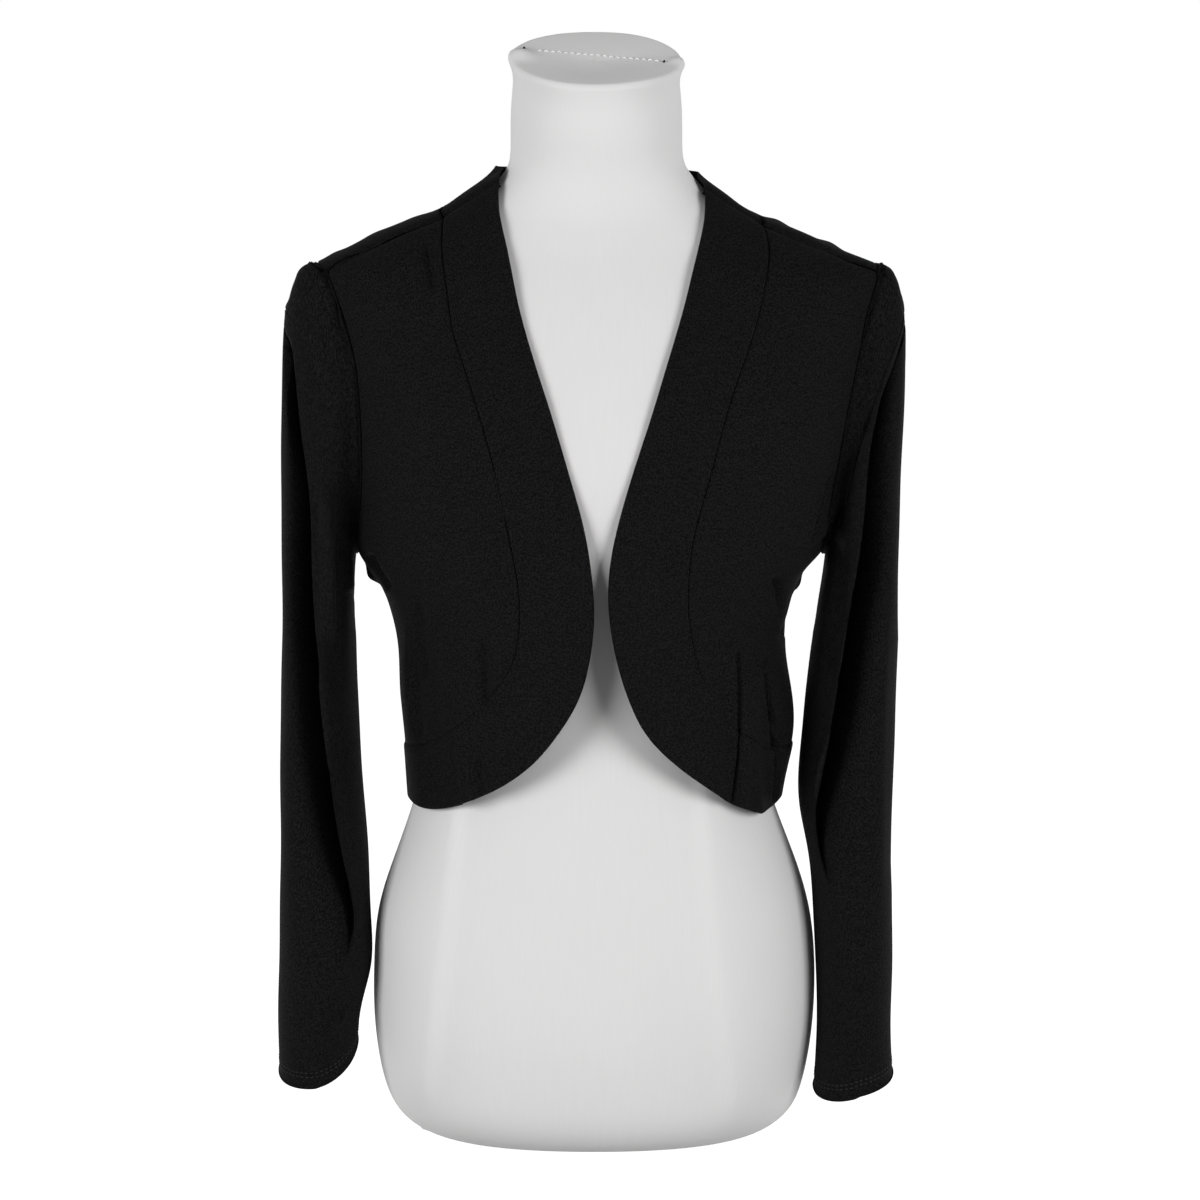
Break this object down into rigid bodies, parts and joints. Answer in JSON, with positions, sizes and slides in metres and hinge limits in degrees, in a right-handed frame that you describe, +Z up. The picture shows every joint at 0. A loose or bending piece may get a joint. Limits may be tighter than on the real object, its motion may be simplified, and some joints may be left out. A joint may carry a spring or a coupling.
{
  "type": "knitted shrug on a dress form",
  "caption": "Long-sleeved jersey shrug with rounded open fronts edged by a wide border, worn on a limbless dress form that stands on its flat base.",
  "frame": {"origin": "middle of the dress form's flat base", "axes": "+Z up, the front faces -Y, the wearer's left is +X"},
  "size_m": [0.4493, 0.2369, 0.7984],
  "materials": {
    "black_jersey": "fine black knitted jersey, matt with a soft sheen",
    "white_cover": "white knitted jersey stretched over a smooth hard form"
  },
  "bodies": {
    "root": {"front_left": "black_jersey", "front_right": "black_jersey", "back": "black_jersey", "border_front_left": "black_jersey", "border_front_right": "black_jersey", "border_back_neck": "black_jersey", "border_back_hem": "black_jersey", "sleeve_left": "black_jersey", "sleeve_right": "black_jersey", "dress_form": "white_cover"}
  },
  "joints": []
}
